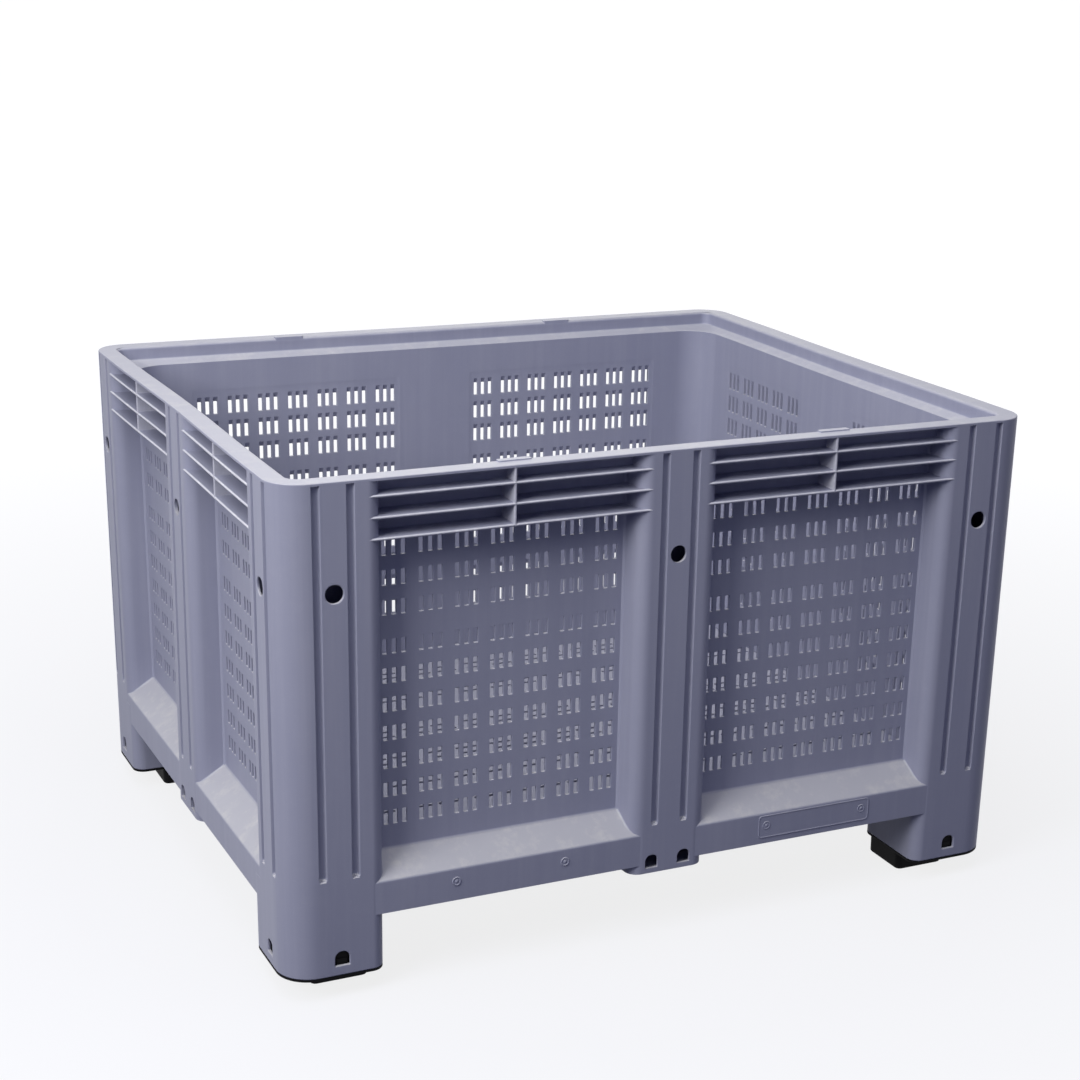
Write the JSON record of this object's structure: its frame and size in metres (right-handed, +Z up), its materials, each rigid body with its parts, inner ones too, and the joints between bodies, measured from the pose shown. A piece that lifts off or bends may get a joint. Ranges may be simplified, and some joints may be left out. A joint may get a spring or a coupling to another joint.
{
  "type": "fruit bin",
  "caption": "Rigid vented pallet box with slotted walls, ribbed rim, hollow posts and columns, sloping sills, slotted floor and corner feet with snap-in caps.",
  "frame": {"origin": "centre of the footprint, on the floor under the foot caps", "axes": "+X along the long side, +Y from the front with the plate to the back, +Z up"},
  "size_m": [1.2, 1, 0.759],
  "materials": {
    "body_plastic": "satin moulded polyethylene, grey-blue",
    "cap_plastic": "satin moulded plastic, black"
  },
  "bodies": {
    "root": {"stacking_rim": "body_plastic", "floor_deck": "body_plastic", "corner_post_front_left": "body_plastic", "corner_post_front_right": "body_plastic", "corner_post_back_left": "body_plastic", "corner_post_back_right": "body_plastic", "mid_column_front": "body_plastic", "mid_column_back": "body_plastic", "mid_column_left": "body_plastic", "mid_column_right": "body_plastic", "wall_panel_front_left": "body_plastic", "wall_panel_front_right": "body_plastic", "wall_panel_back_left": "body_plastic", "wall_panel_back_right": "body_plastic", "wall_panel_left_front": "body_plastic", "wall_panel_left_back": "body_plastic", "wall_panel_right_front": "body_plastic", "wall_panel_right_back": "body_plastic", "rim_ribs_front_left": "body_plastic", "rim_ribs_front_right": "body_plastic", "rim_ribs_back_left": "body_plastic", "rim_ribs_back_right": "body_plastic", "rim_ribs_left_front": "body_plastic", "rim_ribs_left_back": "body_plastic", "rim_ribs_right_front": "body_plastic", "rim_ribs_right_back": "body_plastic", "base_beam_front_left": "body_plastic", "base_beam_front_right": "body_plastic", "base_beam_back_left": "body_plastic", "base_beam_back_right": "body_plastic", "base_beam_left_front": "body_plastic", "base_beam_left_back": "body_plastic", "base_beam_right_front": "body_plastic", "base_beam_right_back": "body_plastic", "foot_cap_front_left": "cap_plastic", "foot_cap_front_right": "cap_plastic", "foot_cap_back_left": "cap_plastic", "foot_cap_back_right": "cap_plastic", "name_plate": "body_plastic", "plate_pins": "body_plastic"}
  },
  "joints": []
}
